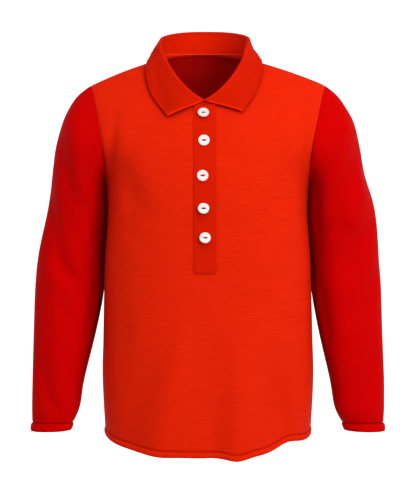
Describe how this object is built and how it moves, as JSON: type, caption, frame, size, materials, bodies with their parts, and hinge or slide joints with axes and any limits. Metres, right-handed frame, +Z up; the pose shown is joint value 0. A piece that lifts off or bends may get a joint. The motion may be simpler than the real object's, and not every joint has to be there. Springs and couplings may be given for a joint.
{
  "type": "football shirt",
  "caption": "Long-sleeved football shirt, filled out as worn, with a fold-over collar, a buttoned half placket and a curved hem; open at neck, cuffs and hem.",
  "frame": {"origin": "midway between the two points where the shoulder seams meet the neck, where the shoulders hold the shirt up", "axes": "+Z up the body, -Y out of the front, +X to the wearer's left"},
  "size_m": [0.6508, 0.2435, 0.7855],
  "materials": {
    "body_cloth": "matt fine knit, orange-red",
    "sleeve_cloth": "matt fine knit, deep red",
    "collar_cloth": "matt flat rib knit, orange-red",
    "button_white": "glossy white"
  },
  "bodies": {
    "root": {"front": "body_cloth", "back": "body_cloth", "sleeve_right": "sleeve_cloth", "sleeve_left": "sleeve_cloth", "collar": "collar_cloth", "placket_outer": "collar_cloth", "placket_under": "collar_cloth", "button_1": "button_white", "button_2": "button_white", "button_3": "button_white", "button_4": "button_white", "button_5": "button_white"}
  },
  "joints": []
}
